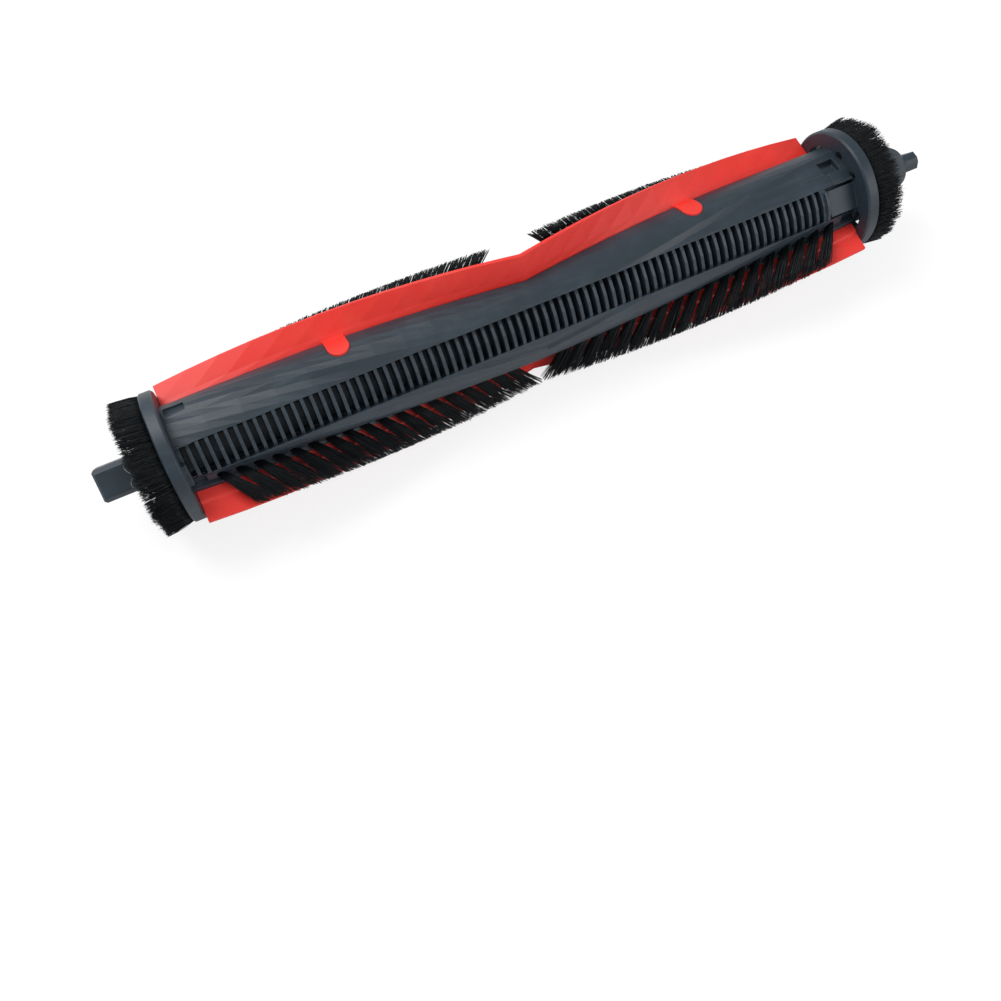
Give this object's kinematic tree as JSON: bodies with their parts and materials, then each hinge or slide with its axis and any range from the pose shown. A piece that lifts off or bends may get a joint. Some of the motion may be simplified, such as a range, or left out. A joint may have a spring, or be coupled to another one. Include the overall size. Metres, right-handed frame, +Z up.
{
  "type": "robot vacuum main roller brush",
  "caption": "Cylindrical sweeping roller with V shaped rubber blades, slanted bristle rows, bristle crowns at both ends, a square drive peg and a bearing end with a flat tang.",
  "frame": {"origin": "centre of the overall box, which lies on the spin axis", "axes": "+X along the spin axis towards the idler tang, -X towards the square drive peg, +Z up when the roller lies at rest, -Y towards the front"},
  "size_m": [0.2104, 0.0376, 0.0328],
  "materials": {
    "slate_plastic": "satin moulded plastic, dark slate",
    "red_rubber": "soft satin rubber",
    "bristle_nylon": "fine dark nylon filaments",
    "bearing_steel": "ground steel"
  },
  "bodies": {
    "roller": {"core_shell_front": "slate_plastic", "core_shell_back": "slate_plastic", "rubber_blade_upper": "red_rubber", "rubber_blade_lower": "red_rubber", "bristle_strip_upper_drive": "slate_plastic", "bristle_strip_upper_idler": "slate_plastic", "bristle_strip_lower_drive": "slate_plastic", "bristle_strip_lower_idler": "slate_plastic", "bristles_upper_drive": "bristle_nylon", "bristles_upper_idler": "bristle_nylon", "bristles_lower_drive": "bristle_nylon", "bristles_lower_idler": "bristle_nylon", "drive_cap": "slate_plastic", "drive_ring_bristles": "bristle_nylon", "idler_cap": "slate_plastic", "idler_ring_bristles": "bristle_nylon", "bearing_outer_race": "bearing_steel", "bearing_balls": "bearing_steel"},
    "idler": {"bearing_inner_race": "bearing_steel", "axle_pin": "bearing_steel", "retaining_clip": "bearing_steel", "idler_bush": "slate_plastic"}
  },
  "joints": [
    {"name": "idler_spin", "type": "hinge", "parent": "roller", "child": "idler", "pos_m": [0, 0, 0], "axis": [1, 0, 0], "continuous": true}
  ]
}
